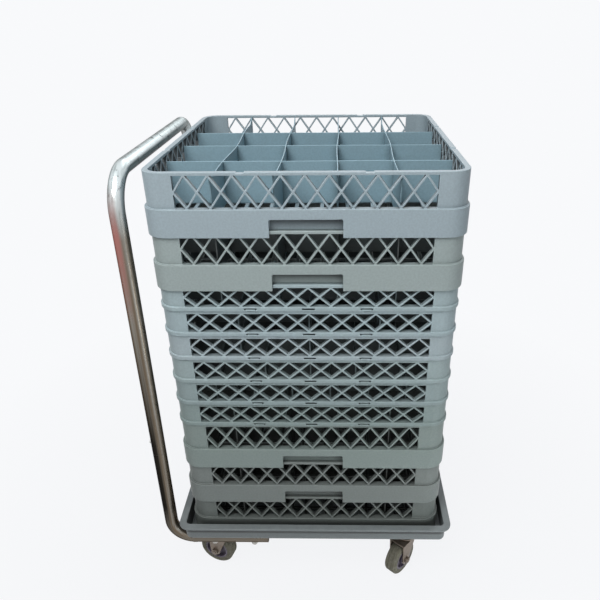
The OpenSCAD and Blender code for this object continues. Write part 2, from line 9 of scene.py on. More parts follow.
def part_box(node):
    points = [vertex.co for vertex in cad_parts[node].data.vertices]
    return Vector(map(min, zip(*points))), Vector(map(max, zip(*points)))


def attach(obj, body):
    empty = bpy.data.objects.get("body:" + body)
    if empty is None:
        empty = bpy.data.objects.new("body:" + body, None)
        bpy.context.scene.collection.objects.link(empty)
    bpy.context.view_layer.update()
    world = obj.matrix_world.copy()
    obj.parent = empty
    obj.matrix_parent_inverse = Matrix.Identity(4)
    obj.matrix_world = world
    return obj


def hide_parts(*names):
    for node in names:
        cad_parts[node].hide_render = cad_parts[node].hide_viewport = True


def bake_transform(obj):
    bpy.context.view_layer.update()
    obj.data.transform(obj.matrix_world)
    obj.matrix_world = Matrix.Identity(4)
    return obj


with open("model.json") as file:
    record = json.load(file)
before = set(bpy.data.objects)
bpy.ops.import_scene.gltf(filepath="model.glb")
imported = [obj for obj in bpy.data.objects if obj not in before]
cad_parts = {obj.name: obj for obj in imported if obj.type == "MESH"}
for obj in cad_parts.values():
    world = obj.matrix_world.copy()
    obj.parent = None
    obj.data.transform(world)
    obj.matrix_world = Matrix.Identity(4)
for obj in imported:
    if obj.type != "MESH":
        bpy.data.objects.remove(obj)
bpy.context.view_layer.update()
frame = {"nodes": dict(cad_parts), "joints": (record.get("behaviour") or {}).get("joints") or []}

# The studio: a wide pale floor that keeps a soft shadow, a near white surround and four soft lamps.
# The key lamp hangs in front of the handle's side and close above the stack, so the top is the brightest,
# and a low lamp lights the foot of the far end.
backdrop_colour = (0.940, 0.949, 0.966, 1.0)
ambient_colour, ambient_strength = (0.93, 0.96, 1.0, 1.0), 0.10
floor_colour, floor_roughness = (0.86, 0.87, 0.89, 1.0), 0.9
floor_half = 30.0
shadow_near, shadow_far, least_white = 0.3, 1.1, 0.93
camera_place = (0.0680, -1.0767, 1.0824)
camera_yaw, camera_tilt, camera_roll = 1.25, 61.74, -0.59
scene = bpy.context.scene
scene.view_settings.view_transform = "Standard"


def shown_white(tree, plain_shader):
    """A white that the camera and polished metal see, mixed over the shader that the other rays see."""
    path = tree.nodes.new("ShaderNodeLightPath")
    seen = tree.nodes.new("ShaderNodeMath")
    seen.operation = "MAXIMUM"
    for socket, kind in enumerate(("Is Camera Ray", "Is Glossy Ray")):
        tree.links.new(path.outputs[kind], seen.inputs[socket])
    mix = tree.nodes.new("ShaderNodeMixShader")
    tree.links.new(seen.outputs["Value"], mix.inputs["Fac"])
    tree.links.new(plain_shader, mix.inputs[1])
    return mix


world = bpy.data.worlds.new("studio_surround")
world.use_nodes = True
scene.world = world
surround = world.node_tree
ambient = surround.nodes["Background"]
ambient.inputs["Color"].default_value = ambient_colour
ambient.inputs["Strength"].default_value = ambient_strength
white = surround.nodes.new("ShaderNodeBackground")
white.inputs["Color"].default_value = backdrop_colour
mix = shown_white(surround, ambient.outputs["Background"])
surround.links.new(white.outputs["Background"], mix.inputs[2])
surround.links.new(mix.outputs["Shader"], surround.nodes["World Output"].inputs["Surface"])

floor_mesh = bmesh.new()
bmesh.ops.create_grid(floor_mesh, x_segments=1, y_segments=1, size=floor_half)
floor_data = bpy.data.meshes.new("studio_floor")
floor_mesh.to_mesh(floor_data)
floor_mesh.free()
floor = bpy.data.objects.new("studio_floor", floor_data)
scene.collection.objects.link(floor)
floor_paint = bpy.data.materials.new("pale_floor")
floor_paint.use_nodes = True
tree = floor_paint.node_tree
matt = tree.nodes["Principled BSDF"]
matt.inputs["Base Color"].default_value = floor_colour
matt.inputs["Roughness"].default_value = floor_roughness
glow = tree.nodes.new("ShaderNodeEmission")
glow.inputs["Color"].default_value = backdrop_colour
from_centre = tree.nodes.new("ShaderNodeVectorMath")
from_centre.operation = "LENGTH"
tree.links.new(tree.nodes.new("ShaderNodeTexCoord").outputs["Object"], from_centre.inputs[0])
fade = tree.nodes.new("ShaderNodeMapRange")
fade_range = (shadow_near, shadow_far, least_white, 1.0)
for socket, number in zip(("From Min", "From Max", "To Min", "To Max"), fade_range):
    fade.inputs[socket].default_value = number
tree.links.new(from_centre.outputs["Value"], fade.inputs["Value"])
half_shadow = tree.nodes.new("ShaderNodeMixShader")
tree.links.new(fade.outputs["Result"], half_shadow.inputs["Fac"])
tree.links.new(matt.outputs["BSDF"], half_shadow.inputs[1])
tree.links.new(glow.outputs["Emission"], half_shadow.inputs[2])
mix = shown_white(tree, matt.outputs["BSDF"])
tree.links.new(half_shadow.outputs["Shader"], mix.inputs[2])
tree.links.new(mix.outputs["Shader"], tree.nodes["Material Output"].inputs["Surface"])
floor_data.materials.append(floor_paint)


def lamp(name, place, target, side, watts, colour):
    """A square soft lamp that the camera doesn't see."""
    data = bpy.data.lights.new(name, "AREA")
    data.shape = "SQUARE"
    data.size = side
    data.energy = watts
    data.color = colour
    made = bpy.data.objects.new(name, data)
    made.location = place
    made.rotation_euler = (Vector(target) - Vector(place)).to_track_quat("-Z", "Y").to_euler()
    made.visible_camera = False
    scene.collection.objects.link(made)


lamp(
    "key_lamp", place=(-0.42, -1.15, 2.15), target=(0.0, 0.0, 0.65),
    side=1.2, watts=23.5, colour=(1.0, 1.0, 1.0))
lamp(
    "front_lamp", place=(0.4, -3.2, 1.4), target=(0.0, 0.0, 0.5),
    side=1.8, watts=2.5, colour=(1.0, 0.99, 0.97))
lamp(
    "low_lamp", place=(0.66, -0.70, 0.14), target=(0.26, -0.25, -0.05),
    side=0.3, watts=1.3, colour=(0.95, 1.0, 1.0))
lamp(
    "rear_lamp", place=(0.3, 2.2, 2.2), target=(0.0, 0.0, 0.5),
    side=1.8, watts=18.0, colour=(0.96, 0.98, 1.0))

camera_data = bpy.data.cameras.new("camera")
camera_data.lens = 34.59
camera_data.sensor_width = 36.0
camera_data.shift_x = -0.0481
camera_data.shift_y = 0.0230
camera = bpy.data.objects.new("camera", camera_data)
facing = Matrix.Identity(4)
for degrees, axis in ((camera_yaw, "Z"), (camera_tilt, "X"), (camera_roll, "Z")):
    facing = facing @ Matrix.Rotation(math.radians(degrees), 4, axis)
camera.matrix_world = Matrix.Translation(camera_place) @ facing
scene.collection.objects.link(camera)
scene.camera = camera

# The tray: one shallow moulding of grey polypropylene with a rolled rim, the dolly's bed.
# It is matt, with painted shade and grime in the corners, scuffed pale along the edges; the legs and casters
# bolt under it.
tray_round = 0.0012
tray_colour, tray_gloss = (0.236, 0.262, 0.267), 0.46
# Depths below the rim of a painted shadow under the lip, the wall it lies on, its strength, and the rim top's
# painted highlight.
lip_shadow_band = (0.0185, 0.0225)
wall_face = (0.2600, 0.2640)
lip_shadow, rim_top_highlight = 0.7, 0.6
merge_within = 1e-5
sharp_angle, smooth_angle = math.radians(35.0), math.radians(40.0)
round_steps = 2
# The near black of painted shade, inside the stack and under things.
painted_shade_colour = (0.022, 0.021, 0.019)
fleck_shade, streak_shade, scuff_shade, grime_and_shade_share, wear_and_highlight_shade = 0.82, 0.62, 1.35, 0.20, 1.45
most_fleck, most_streak, most_scuff, most_grime_and_shade = 0.45, 0.04, 0.05, 0.85
grime_and_shade_reach, grime_and_shade_samples = 0.018, 6
plastic_gloss = 0.5


def cad_copy(node):
    """A bmesh of a solid's mesh with its corners joined up."""
    shape = bmesh.new()
    shape.from_mesh(frame["nodes"][node].data)
    bmesh.ops.remove_doubles(shape, verts=shape.verts, dist=merge_within)
    return shape


def meshed(shape, name, smooth=smooth_angle):
    """A piece from a bmesh, shaded smooth over edges flatter than an angle."""
    data = bpy.data.meshes.new(name)
    shape.to_mesh(data)
    shape.free()
    data.shade_smooth()
    data.set_sharp_from_angle(angle=smooth)
    piece = bpy.data.objects.new(name, data)
    scene.collection.objects.link(piece)
    return piece


def rounded_piece(shape, name, radius):
    """A piece from a bmesh with its sharp edges rounded, and their ridges marked in the attribute worn."""
    wear_and_highlight = shape.verts.layers.float.new("wear_and_highlight")
    if radius:
        edges = [e for e in shape.edges if e.is_manifold and e.calc_face_angle() > sharp_angle]
        rounded = bmesh.ops.bevel(
            shape, geom=edges, offset=radius, offset_type="OFFSET", segments=round_steps,
            profile=0.5, affect="EDGES", clamp_overlap=False, material=-1)
        strips = set(rounded["faces"])
        for vert in {v for face in strips for v in face.verts}:
            if all(face in strips for face in vert.link_faces):
                vert[wear_and_highlight] = 1.0
    piece = meshed(shape, name)
    even = piece.modifiers.new("even_normals", "WEIGHTED_NORMAL")
    even.keep_sharp = True
    return piece


def softened(node, name, radius):
    """A solid's copy with its sharp edges rounded."""
    return rounded_piece(cad_copy(node), name, radius)


def finish_tree(name):
    """A new material: its node tree, its shader and the object's own coordinates."""
    material = bpy.data.materials.new(name)
    material.use_nodes = True
    tree = material.node_tree
    where = tree.nodes.new("ShaderNodeTexCoord").outputs["Object"]
    return material, tree, tree.nodes["Principled BSDF"], where


def speckle(tree, where, scale, stretch=(1.0, 1.0, 1.0), detail=4.0):
    """Noise from 0 to 1, with its grain drawn out where stretch is small."""
    mapping = tree.nodes.new("ShaderNodeMapping")
    mapping.inputs["Scale"].default_value = stretch
    tree.links.new(where, mapping.inputs["Vector"])
    noise = tree.nodes.new("ShaderNodeTexNoise")
    noise.inputs["Scale"].default_value = scale
    noise.inputs["Detail"].default_value = detail
    tree.links.new(mapping.outputs["Vector"], noise.inputs["Vector"])
    return noise.outputs["Fac"]


def spread(tree, value, low, high, to_low=0.0, to_high=1.0):
    """The stretch of a value from low to high, taken to another range and clamped there."""
    node = tree.nodes.new("ShaderNodeMapRange")
    tree.links.new(value, node.inputs["Value"])
    for socket, number in zip(("From Min", "From Max", "To Min", "To Max"), (low, high, to_low, to_high)):
        node.inputs[socket].default_value = number
    return node.outputs["Result"]


def product(tree, first, second):
    """Two values multiplied."""
    node = tree.nodes.new("ShaderNodeMath")
    node.operation = "MULTIPLY"
    tree.links.new(first, node.inputs[0])
    tree.links.new(second, node.inputs[1])
    return node.outputs["Value"]


def tinted(tree, factor, under, over):
    """One colour over another where factor is 1. Each is a colour or a socket."""
    node = tree.nodes.new("ShaderNodeMix")
    node.data_type = "RGBA"
    tree.links.new(factor, node.inputs["Factor"])
    for socket, colour in ((node.inputs[6], under), (node.inputs[7], over)):
        if isinstance(colour, tuple):
            socket.default_value = (*colour, 1.0)
        else:
            tree.links.new(colour, socket)
    return node.outputs[2]


def shade_of(colour, share):
    """A colour made darker or lighter."""
    return tuple(min(channel * share, 1.0) for channel in colour)


def raised(tree, shader, heights):
    """Bumps on a shader, each a height value with its strength and its depth in metres."""
    normal = None
    for height, strength, depth in heights:
        bump = tree.nodes.new("ShaderNodeBump")
        bump.inputs["Strength"].default_value = strength
        bump.inputs["Distance"].default_value = depth
        tree.links.new(height, bump.inputs["Height"])
        if normal:
            tree.links.new(normal, bump.inputs["Normal"])
        normal = bump.outputs["Normal"]
    tree.links.new(normal, shader.inputs["Normal"])


def moulded_plastic(name, colour, gloss=plastic_gloss):
    """Matt moulded polypropylene: fine grain, scuffs, pale worn edges with painted highlights, painted shade
    and grime in the corners.
    """
    material, tree, shader, where = finish_tree(name)
    clouds = spread(tree, speckle(tree, where, 5.0, detail=2.0), 0.3, 0.7)
    skin = tinted(tree, clouds, shade_of(colour, 0.992), shade_of(colour, 1.008))
    flecks = spread(tree, speckle(tree, where, 300.0, detail=1.0), 0.35, 0.65, 0.0, most_fleck)
    skin = tinted(tree, flecks, skin, shade_of(colour, fleck_shade))
    streaks = speckle(tree, where, 34.0, (1.0, 1.0, 0.16))
    streaks = spread(tree, streaks, 0.62, 0.78, 0.0, most_streak)
    skin = tinted(tree, streaks, skin, shade_of(colour, streak_shade))
    scuffs = speckle(tree, where, 190.0, (0.07, 0.07, 1.0), 2.0)
    patches = spread(tree, speckle(tree, where, 11.0, detail=2.0), 0.5, 0.66)
    scuffed = product(tree, spread(tree, scuffs, 0.62, 0.7, 0.0, most_scuff), patches)
    skin = tinted(tree, scuffed, skin, shade_of(colour, scuff_shade))
    # This attribute carries painted shade: inside the stack, on the sides of the lattice's gaps, at the top
    # of the hand holds and under the tray's lip.
    inside = tree.nodes.new("ShaderNodeAttribute")
    inside.attribute_name = "painted_shade"
    patchy = spread(tree, speckle(tree, where, 20.0), 0.3, 0.7, 0.85, 1.0)
    skin = tinted(tree, product(tree, inside.outputs["Fac"], patchy), skin, painted_shade_colour)
    # Occlusion darkens corners and crevices: painted shade and grime.
    crevices = tree.nodes.new("ShaderNodeAmbientOcclusion")
    crevices.samples = grime_and_shade_samples
    crevices.inputs["Distance"].default_value = grime_and_shade_reach
    grime_and_shade = spread(tree, crevices.outputs["AO"], 0.25, 0.88, most_grime_and_shade, 0.0)
    skin = tinted(tree, grime_and_shade, skin, shade_of(colour, grime_and_shade_share))
    # This attribute marks pale worn edges, and painted highlights on the tray rim's top and the dividers'
    # upward faces.
    edge = tree.nodes.new("ShaderNodeAttribute")
    edge.attribute_name = "wear_and_highlight"
    chafe = spread(tree, speckle(tree, where, 48.0), 0.36, 0.62, 0.5, 0.95)
    wear_and_highlight = product(tree, edge.outputs["Fac"], chafe)
    skin = tinted(tree, wear_and_highlight, skin, shade_of(colour, wear_and_highlight_shade))
    tree.links.new(skin, shader.inputs["Base Color"])
    grain = speckle(tree, where, 1500.0, detail=1.0)
    dulled = spread(tree, speckle(tree, where, 22.0), 0.3, 0.7, gloss - 0.01, gloss + 0.02)
    tree.links.new(dulled, shader.inputs["Roughness"])
    shader.inputs["Specular IOR Level"].default_value = 0.4
    raised(tree, shader, [(grain, 0.08, 0.0002)])
    return material


tray_low, tray_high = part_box("tray")
tray_middle = (tray_low + tray_high) / 2
shape = cad_copy("tray")
# Two cuts bound a band on the wall just below the rim, for the painted shadow under the lip.
for below_rim in lip_shadow_band:
    bmesh.ops.bisect_plane(
        shape, geom=shape.verts[:] + shape.edges[:] + shape.faces[:],
        plane_co=(0, 0, tray_high.z - below_rim), plane_no=(0, 0, 1))
tray = rounded_piece(shape, "dolly_tray", tray_round)
rubbed = tray.data.attributes["wear_and_highlight"].data
shade_layer = tray.data.attributes.new("painted_shade", "FLOAT", "POINT").data
for vert in tray.data.vertices:
    from_middle = vert.co - tray_middle
    out = max(abs(from_middle.x), abs(from_middle.y))
    # The rim's top gets a painted highlight, and the band on the wall below the lip a painted shadow.
    if vert.co.z > tray_high.z - tray_round / 2:
        rubbed[vert.index].value = rim_top_highlight
    elif wall_face[0] < out < wall_face[1] and vert.co.z > tray_high.z - sum(lip_shadow_band) / 2:
        shade_layer[vert.index].value = lip_shadow
tray.data.materials.append(moulded_plastic("tray_polypropylene", tray_colour, tray_gloss))
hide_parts("tray")
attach(tray, "dolly")

# The two legs and the push handle: bent stainless tube, the handle sleeved over the legs' spigots.
# The bar is bright, with painted reflection streaks, and dented from handling; below the bend the tube
# carries a painted brown reflection, a painted red reflection on the outer side and a painted dark reflection
# there towards the floor.
steel_colour = (0.76, 0.83, 0.84)
# The streak, brown, red and near black colours below are painted reflections; the spot colour is for dark
# spots.
streak_reflection_colour = (0.44, 0.51, 0.51)
spot_colour = (0.10, 0.11, 0.105)
brown_reflection_colour = (0.170, 0.132, 0.092)
red_reflection_colour = (0.43, 0.175, 0.155)
dark_reflection_colour = (0.013, 0.011, 0.008)
bare_edge_colour = (0.46, 0.43, 0.38)
glint_tint = (0.16, 0.15, 0.14, 1.0)
tube_metal = 0.85
bend_low, bend_high = 0.765, 0.850
red_reflection_low, red_reflection_high = 0.62, 0.78
dark_reflection_low, dark_reflection_high = 0.36, 0.62
run_low, run_high = 0.105, 0.20
tube_end_round = 0.0008


def polished_tube(name):
    """Dulled stainless: painted reflection streaks, dark spots, a painted brown reflection below the bend,
    red and dark outside.
    """
    material, tree, shader, where = finish_tree(name)
    split = tree.nodes.new("ShaderNodeSeparateXYZ")
    tree.links.new(where, split.inputs["Vector"])
    height = split.outputs["Z"]
    facing_out = tree.nodes.new("ShaderNodeTexCoord").outputs["Normal"]
    around = tree.nodes.new("ShaderNodeVectorMath")
    around.operation = "MULTIPLY_ADD"
    around.inputs[1].default_value = (0.55, 0.55, 0.55)
    tree.links.new(where, around.inputs[0])
    tree.links.new(facing_out, around.inputs[2])
    along = around.outputs["Vector"]
    # Lengthwise streaks along the tube: a painted reflection.
    reflection_streaks = spread(tree, speckle(tree, along, 2.6, detail=3.0), 0.30, 0.54)
    skin = tinted(tree, reflection_streaks, streak_reflection_colour, steel_colour)
    below = spread(tree, height, bend_low, bend_high, 1.0, 0.0)
    spots = spread(tree, speckle(tree, where, 110.0, detail=3.0), 0.60, 0.70, 0.0, 0.6)
    above = spread(tree, height, bend_low, bend_high, 0.2, 1.0)
    skin = tinted(tree, product(tree, spots, above), skin, spot_colour)
    # Below the bend: a painted brown reflection.
    painted_share = spread(tree, speckle(tree, along, 3.4, detail=3.0), 0.35, 0.65, 0.80, 1.0)
    skin = tinted(tree, product(tree, below, painted_share), skin, brown_reflection_colour)
    outer = tree.nodes.new("ShaderNodeSeparateXYZ")
    tree.links.new(facing_out, outer.inputs["Vector"])
    # On the outer side: a painted red reflection and, towards the floor, a painted dark reflection.
    far_side = spread(tree, outer.outputs["X"], 0.36, -0.04)
    blush = spread(tree, speckle(tree, where, 16.0, (1.0, 1.0, 0.5), 3.0), 0.30, 0.55, 0.25, 1.0)
    red_reflection = product(tree, product(tree, blush, far_side), below)
    red_reflection = product(tree, red_reflection, spread(tree, height, red_reflection_low, red_reflection_high))
    skin = tinted(tree, red_reflection, skin, red_reflection_colour)
    dark_reflection = product(tree, far_side, spread(tree, height, dark_reflection_low, dark_reflection_high, 0.96, 0.0))
    dark_reflection = product(tree, dark_reflection, spread(tree, height, run_low, run_high, 0.15, 1.0))
    skin = tinted(tree, dark_reflection, skin, dark_reflection_colour)
    edge = tree.nodes.new("ShaderNodeAttribute")
    edge.attribute_name = "wear_and_highlight"
    skin = tinted(tree, edge.outputs["Fac"], skin, bare_edge_colour)
    tree.links.new(skin, shader.inputs["Base Color"])
    shader.inputs["Metallic"].default_value = tube_metal
    shader.inputs["Specular Tint"].default_value = glint_tint
    rubbed = speckle(tree, where, 700.0, (1.0, 1.0, 0.012), 2.0)
    smears = spread(tree, speckle(tree, where, 40.0), 0.3, 0.7, 0.22, 0.40)
    tree.links.new(smears, shader.inputs["Roughness"])
    dents = speckle(tree, where, 55.0, detail=1.0)
    raised(tree, shader, [(rubbed, 0.05, 0.0002), (dents, 0.24, 0.002)])
    return material


worn_stainless = polished_tube("worn_stainless")
for node, name, end_round in (
        ("leg_front", "front_leg_tube", 0.0), ("leg_rear", "rear_leg_tube", 0.0),
        ("push_handle", "push_handle_tube", tube_end_round)):
    tube = softened(node, name, end_round)
    tube.data.materials.append(worn_stainless)
    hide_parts(node)
    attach(tube, "dolly")

# The snap buttons and the leaf springs behind them hold the handle on the legs' spigots.
# A button is a turned steel pin. Its spring is a bent strip that lies hidden inside the tube; on the dolly
# its leaf on the button's side gives way with the button, but here the spring stays fixed.
button_round = 0.0003
button_colour, spring_colour = (0.50, 0.49, 0.47), (0.25, 0.25, 0.26)
bare_spot_colour = (0.16, 0.095, 0.06)
plating_metal = 0.9


def plated_steel(name, colour, gloss, spotting):
    """Plated steel: spangled colour, brown spots where the plating has gone, fine rubbing marks."""
    material, tree, shader, where = finish_tree(name)
    spangle = spread(tree, speckle(tree, where, 120.0, detail=2.0), 0.35, 0.65)
    skin = tinted(tree, spangle, shade_of(colour, 0.86), shade_of(colour, 1.1))
    spots = spread(tree, speckle(tree, where, 90.0), 0.56, 0.68, 0.0, spotting)
    skin = tinted(tree, spots, skin, bare_spot_colour)
    tree.links.new(skin, shader.inputs["Base Color"])
    shader.inputs["Metallic"].default_value = plating_metal
    dulled = spread(tree, speckle(tree, where, 60.0), 0.3, 0.7, gloss - 0.08, gloss + 0.14)
    tree.links.new(dulled, shader.inputs["Roughness"])
    raised(tree, shader, [(speckle(tree, where, 800.0, detail=2.0), 0.12, 0.0002)])
    return material


button_steel = plated_steel("button_steel", button_colour, gloss=0.28, spotting=0.15)
spring_steel = plated_steel("spring_steel", spring_colour, gloss=0.35, spotting=0.1)
for side in ("front", "rear"):
    button = softened(f"button_{side}", f"{side}_snap_button", button_round)
    button.data.materials.append(button_steel)
    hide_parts(f"button_{side}")
    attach(button, f"button_{side}")
    spring = softened(f"button_spring_{side}", f"{side}_button_spring", 0.0)
    spring.data.materials.append(spring_steel)
    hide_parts(f"button_spring_{side}")
    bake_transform(spring)

# The fasteners: bolts and nuts of the legs and of the caster plates, and the king pins of the casters.
# They are zinc plated steel, their corners chamfered, with brown spots where the plating has gone.
fastener_round = 0.0004
fastener_colour = (0.46, 0.45, 0.42)
fastener_zinc = plated_steel("fastener_zinc", fastener_colour, gloss=0.36, spotting=0.35)
for node, name in (
        ("leg_bolts", "leg_fixing_bolts"), ("leg_nuts", "leg_fixing_nuts"),
        ("plate_bolts", "caster_plate_bolts"), ("plate_nuts", "caster_plate_nuts"),
        ("king_pins", "caster_king_pins")):
    fasteners = softened(node, name, fastener_round)
    fasteners.data.materials.append(fastener_zinc)
    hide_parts(node)
    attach(fasteners, "dolly")

# The casters: pressed steel plates and forks, zinc plated, with a turned axle bolt and bush in each.
# The plates are bolted under the tray's pads, and each fork swivels below its plate on the king pin.
corners = ("front_left", "front_right", "rear_left", "rear_right")
plate_round, fork_round, axle_round, bush_round = 0.0006, 0.0009, 0.0005, 0.0003
fork_colour, axle_colour = (0.24, 0.20, 0.165), (0.21, 0.175, 0.145)
fork_zinc = plated_steel("fork_zinc", fork_colour, gloss=0.48, spotting=0.5)
axle_zinc = plated_steel("axle_zinc", axle_colour, gloss=0.48, spotting=0.5)
plates = softened("caster_plates", "caster_top_plates", plate_round)
plates.data.materials.append(fork_zinc)
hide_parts("caster_plates")
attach(plates, "dolly")
for corner in corners:
    for node, name, radius, metal, slot in (
            ("fork", "caster_fork", fork_round, fork_zinc, "pressed_steel"),
            ("axle", "axle_bolt", axle_round, axle_zinc, "zinc_fastener"),
            ("axle_nut", "axle_lock_nut", axle_round, axle_zinc, "zinc_fastener"),
            ("bush", "axle_bush", bush_round, spring_steel, "spring_steel")):
        part = softened(f"{node}_{corner}", f"{name}_{corner}", radius)
        part.data.materials.append(metal)
        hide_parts(f"{node}_{corner}")
        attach(part, f"caster_{corner}")

# The wheels: a grey rubber tyre moulded on a dark plastic hub.
# The tread has two grooves and the side walls a raised ring, and the rubber is dusty from the floor.
tyre_colour, dust_colour, tyre_roughness = (0.168, 0.160, 0.118), (0.30, 0.29, 0.26), 0.78
hub_colour, hub_roughness, hub_round = (0.105, 0.088, 0.118), 0.42, 0.0008
tyre_half, tyre_out, tyre_in = 0.0125, 0.0375, 0.026
tyre_steps, shoulder_steps = 72, 6
shoulder, groove_at, groove_half, groove_deep = 0.004, 0.0045, 0.0009, 0.0011
groove_floor = 0.6
side_ring, side_ring_half, side_ring_up = 0.0315, 0.0009, 0.0005
ring_outline = ((1, 0), (0.5, 1), (-0.5, 1), (-1, 0))
joints = {joint["name"]: joint for joint in frame["joints"]}


def turned(name, outline, place):
    """A ring turned about an axle from its outline of radius and offset along the axle."""
    shape = bmesh.new()
    verts = [shape.verts.new((radius, 0.0, offset)) for radius, offset in outline]
    edges = [shape.edges.new(pair) for pair in zip(verts, verts[1:] + verts[:1])]
    bmesh.ops.spin(
        shape, geom=verts + edges, cent=(0, 0, 0), axis=(0, 0, 1), angle=math.tau,
        steps=tyre_steps, use_merge=True)
    bmesh.ops.remove_doubles(shape, verts=shape.verts, dist=merge_within / 10)
    bmesh.ops.recalc_face_normals(shape, faces=shape.faces)
    bmesh.ops.transform(shape, matrix=place, verts=shape.verts)
    return meshed(shape, name)


def dusty_rubber():
    """Grey rubber, clouded, with pale dust on it."""
    material, tree, shader, where = finish_tree("tyre_grey_rubber")
    clouds = spread(tree, speckle(tree, where, 40.0), 0.3, 0.7)
    skin = tinted(tree, clouds, shade_of(tyre_colour, 0.8), shade_of(tyre_colour, 1.15))
    dust = spread(tree, speckle(tree, where, 170.0), 0.5, 0.75, 0.0, 0.5)
    skin = tinted(tree, dust, skin, dust_colour)
    tree.links.new(skin, shader.inputs["Base Color"])
    shader.inputs["Roughness"].default_value = tyre_roughness
    raised(tree, shader, [(speckle(tree, where, 900.0), 0.25, 0.0003)])
    return material


def dark_hub_plastic():
    """Dark plastic, a little uneven in colour."""
    material, tree, shader, where = finish_tree("hub_dark_plastic")
    clouds = spread(tree, speckle(tree, where, 60.0), 0.3, 0.7)
    skin = tinted(tree, clouds, shade_of(hub_colour, 0.8), shade_of(hub_colour, 1.5))
    tree.links.new(skin, shader.inputs["Base Color"])
    shader.inputs["Roughness"].default_value = hub_roughness
    raised(tree, shader, [(speckle(tree, where, 700.0), 0.15, 0.0002)])
    return material


tyre_rubber = dusty_rubber()
hub_plastic = dark_hub_plastic()


def tyre_outline():
    """Radius and offset from the middle, over the tread and the side wall, and back in mirror image."""
    floor_of_groove = tyre_out - groove_deep
    half = [(tyre_out, 0.0)]
    half += [(tyre_out, groove_at - groove_half), (floor_of_groove, groove_at - groove_half * groove_floor)]
    half += [(floor_of_groove, groove_at + groove_half * groove_floor), (tyre_out, groove_at + groove_half)]
    for step in range(shoulder_steps + 1):
        angle = math.radians(step * 90 / shoulder_steps)
        radius = tyre_out - shoulder * (1 - math.cos(angle))
        half.append((radius, tyre_half - shoulder * (1 - math.sin(angle))))
    for radius, up in ring_outline:
        half.append((side_ring + radius * side_ring_half, tyre_half + up * side_ring_up))
    half.append((tyre_in, tyre_half))
    return half + [(radius, -offset) for radius, offset in reversed(half[1:])]


up = Vector((0, 0, 1))
for corner in corners:
    axle = Vector(joints[f"roll_{corner}"]["pos_m"])
    along = Vector(joints[f"roll_{corner}"]["axis"])
    back = up.cross(along)
    place = Matrix.Translation(axle) @ Matrix((back, up, along)).transposed().to_4x4()
    tyre = turned(f"tyre_ring_{corner}", tyre_outline(), place)
    tyre.data.materials.append(tyre_rubber)
    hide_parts(f"tyre_{corner}")
    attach(tyre, f"wheel_{corner}")
    hub = softened(f"hub_{corner}", f"wheel_hub_{corner}", hub_round)
    hub.data.materials.append(hub_plastic)
    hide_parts(f"hub_{corner}")
    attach(hub, f"wheel_{corner}")

# The base racks: five polypropylene mouldings, each with a plain band, lattice walls, a rim and a grid floor.
# They stack by the skirt of one over the rim of the next; darker towards the bottom, the top one bluer.
rack_round = 0.0008
rack_colours = {
    1: (0.180, 0.203, 0.192), 2: (0.246, 0.277, 0.266), 3: (0.305, 0.370, 0.352),
    4: (0.456, 0.537, 0.531), 5: (0.469, 0.569, 0.619)}
seam_from_middle, seam_half, seam_merge = 0.21495, 0.00012, 0.00015
seam_normal, gap_normal = 0.9, 0.3
inside_half, outside_half = 0.2372, 0.2464
hold_half, hold_top, hold_back, hold_round = 0.0565, 0.029, 0.240, 0.0035
# The painted shadow at the top of each hand hold's back panel, and the heights it spans.
hold_shadow, hold_below, hold_above = 1.0, 0.004, 0.001
hold_steps, hold_near = 4, 1e-4
# Painted shade inside the walls, slight in the open top rack, and on the sides of the lattice's gaps.
inside_shade, open_top_rack, open_top_rack_shade = 0.9, 5, 0.05
gap_shades = (0.85, 0.30)
plain_foot = {"rack": 0.0455, "extender": 0.008}
plain_rim = 0.0045


def round_holds(shape, middle, top):
    """Round off the two upper corners of each hand hold, whose edges run straight into the band."""
    hold_edges = []
    for edge in shape.edges:
        first, last = (vert.co for vert in edge.verts)
        if abs(first.z - top) > hold_near or abs(last.z - top) > hold_near:
            continue
        for axis in (0, 1):
            straight = abs(first[axis] - last[axis]) < hold_near
            if straight and abs(abs(first[axis] - middle[axis]) - hold_half) < hold_near:
                hold_edges.append(edge)
    bmesh.ops.bevel(
        shape, geom=hold_edges, offset=hold_round, offset_type="OFFSET", segments=hold_steps,
        profile=0.5, affect="EDGES", clamp_overlap=False, material=-1)


def in_hold(from_middle, height):
    """Whether a point lies along the top of the panel at the back of a hand hold."""
    near, far = sorted((abs(from_middle.x), abs(from_middle.y)))
    beside = near < hold_half + rack_round
    at_back = abs(far - hold_back) < rack_round
    return beside and at_back and hold_top - hold_below < height < hold_top + hold_above


def reach(from_middle):
    """How far out a point lies, measured square along the sides and round at the corners."""
    across, along = abs(from_middle.x) - seam_from_middle, abs(from_middle.y) - seam_from_middle
    past = math.hypot(across, along) if min(across, along) > 0 else max(across, along)
    return seam_from_middle + past


